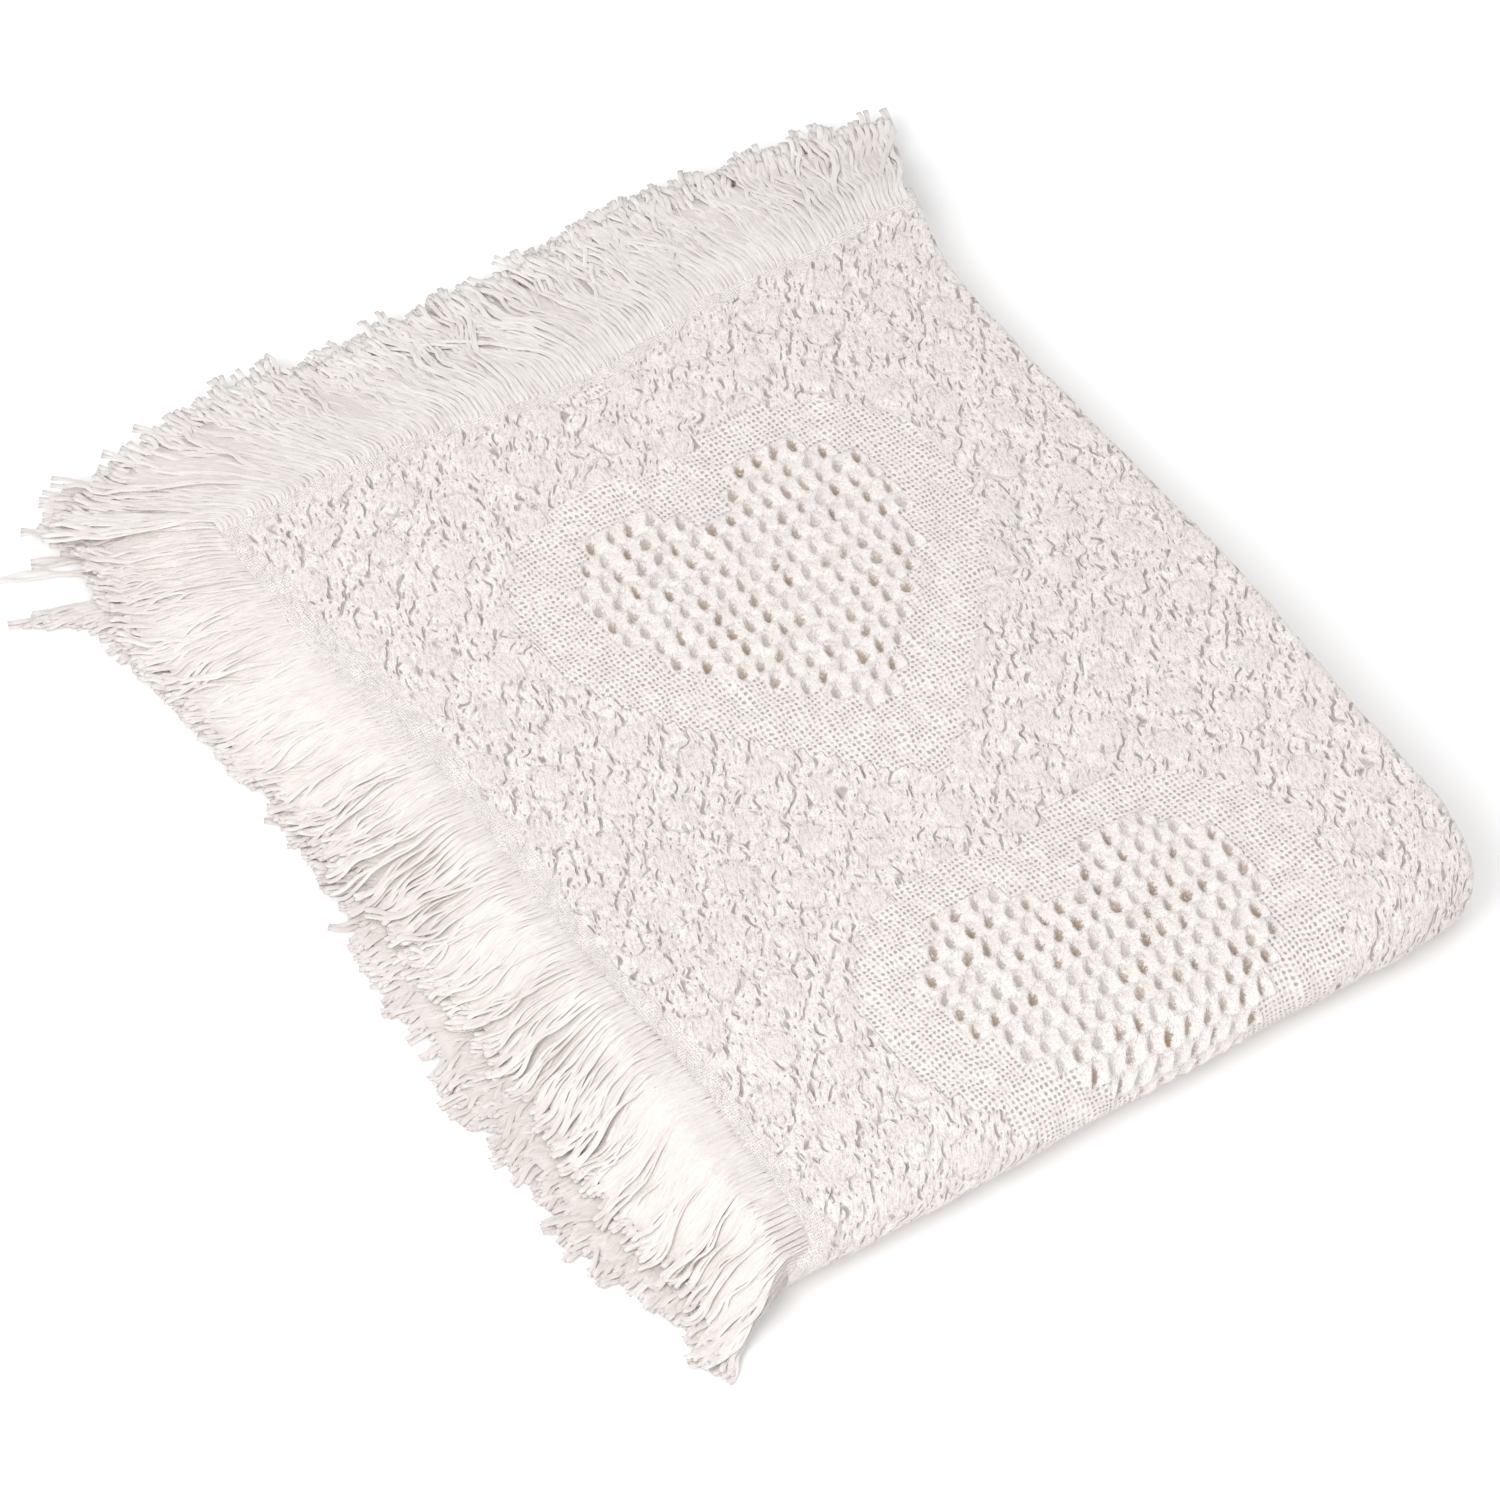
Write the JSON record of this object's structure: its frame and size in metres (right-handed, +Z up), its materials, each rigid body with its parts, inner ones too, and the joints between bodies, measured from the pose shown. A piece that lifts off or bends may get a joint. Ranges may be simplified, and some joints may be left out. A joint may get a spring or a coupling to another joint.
{
  "type": "throw blanket",
  "caption": "Cream cotton throw blanket with fringed edges and woven heart panels, folded into a flat rectangle.",
  "frame": {"origin": "middle of the folded panel's flat underside, on the surface that it rests on", "axes": "+Z up; +X from the fringed side edge to the fold of the thirds; +Y from the big fold of the halves to the fringed ends"},
  "size_m": [0.6121, 0.7293, 0.0575],
  "materials": {
    "cotton_cloth": "matte textured weave",
    "cotton_fringe": "matte twisted yarn"
  },
  "bodies": {
    "root": {"cloth": "cotton_cloth", "fringe_side_outer": "cotton_fringe", "fringe_side_inner": "cotton_fringe", "fringe_end_upper": "cotton_fringe", "fringe_end_lower": "cotton_fringe"}
  },
  "joints": []
}
